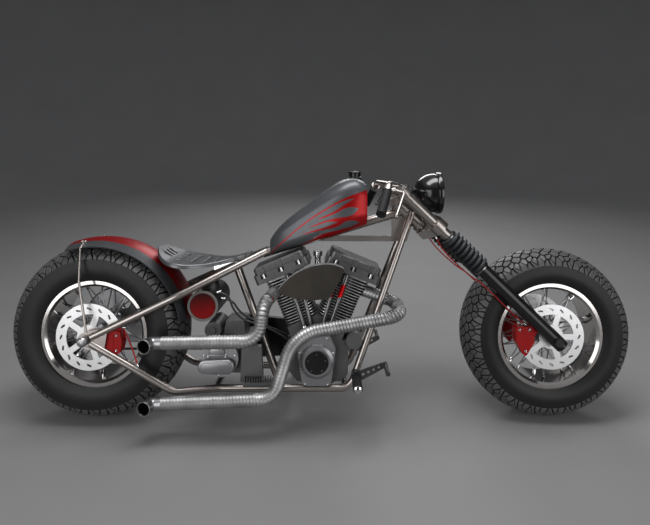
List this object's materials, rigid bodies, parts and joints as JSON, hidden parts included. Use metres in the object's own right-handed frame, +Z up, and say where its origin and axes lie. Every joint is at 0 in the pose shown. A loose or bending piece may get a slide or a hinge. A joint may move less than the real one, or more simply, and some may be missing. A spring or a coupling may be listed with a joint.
{
  "type": "bobber motorcycle",
  "caption": "Rigid-frame bobber motorcycle with an air-cooled V-twin, wire wheels, raked fork and solo seat, parked leaning on its side stand.",
  "frame": {"origin": "on the floor under the middle of the parked machine's box", "axes": "+X forward along the wheelbase, +Y to the rider's left, +Z up; the machine leans to its left on the stand"},
  "size_m": [2.4147, 0.7224, 0.9553],
  "materials": {
    "black_metal": "satin",
    "body_grey": "satin",
    "chrome": "polished",
    "engine_grey": "cast",
    "frame_paint": "satin",
    "glass": "clear",
    "pipe_steel": "brushed",
    "polished": "polished",
    "rubber": "matte",
    "signal_red": "gloss",
    "tyre": "matte"
  },
  "bodies": {
    "chassis": {"frame_backbone": "frame_paint", "upper_rails": "frame_paint", "cradle_tubes": "frame_paint", "cross_frame": "frame_paint", "crankcase": "engine_grey", "cylinders": "engine_grey", "rocker_boxes": "engine_grey", "cam_cover": "polished", "points_cover": "black_metal", "pushrod_tubes": "signal_red", "air_cleaner": "polished", "carburettor": "chrome", "oil_filter": "engine_grey", "gearbox": "engine_grey", "gearbox_cover": "polished", "side_box": "black_metal", "primary_plate": "black_metal", "drive_pulleys": "polished", "belts": "rubber", "oil_tank": "black_metal", "oil_tank_ends": "signal_red", "exhaust_pipes": "pipe_steel", "exhaust_tips": "pipe_steel", "fuel_tank": "body_grey", "filler_cap": "black_metal", "seat": "body_grey", "seat_bracket": "chrome", "rear_fender": "body_grey", "fender_struts": "black_metal", "rear_axle": "chrome", "rear_caliper": "signal_red", "foot_controls": "black_metal", "brake_hoses": "signal_red", "oil_hoses": "rubber", "regulator": "black_metal", "stand_bracket": "frame_paint"},
    "fork": {"fork_sliders": "black_metal", "fork_legs": "pipe_steel", "fork_boots": "rubber", "lower_clamp": "black_metal", "upper_clamp": "black_metal", "handlebar": "black_metal", "grips": "rubber", "levers": "black_metal", "headlight": "black_metal", "headlight_lens": "glass", "front_calipers": "signal_red", "front_axle": "chrome", "fork_hoses": "signal_red"},
    "front_wheel": {"front_tyre": "tyre", "front_rim": "chrome", "front_hub": "polished", "front_discs": "pipe_steel"},
    "rear_wheel": {"rear_tyre": "tyre", "rear_rim": "chrome", "rear_hub": "polished", "rear_disc": "pipe_steel", "rear_pulley": "polished"},
    "side_stand": {"side_stand": "frame_paint"}
  },
  "joints": [
    {"name": "steering", "type": "hinge", "parent": "chassis", "child": "fork", "pos_m": [0.35092, -0.0035, 0.77867], "axis": [-0.7193, 0.1087, 0.6861], "range_deg": [-32, 32]},
    {"name": "front_wheel_spin", "type": "hinge", "parent": "fork", "child": "front_wheel", "pos_m": [0.88085, -0.0753, 0.32539], "axis": [0, 0.9877, -0.1564], "continuous": true},
    {"name": "rear_wheel_spin", "type": "hinge", "parent": "chassis", "child": "rear_wheel", "pos_m": [-0.86715, -0.07306, 0.33951], "axis": [0, 0.9877, -0.1564], "continuous": true},
    {"name": "stand_fold", "type": "hinge", "parent": "chassis", "child": "side_stand", "pos_m": [-0.16715, 0.03188, 0.09433], "axis": [0.1376, 0.4541, 0.8802], "range_deg": [0, 100]}
  ]
}
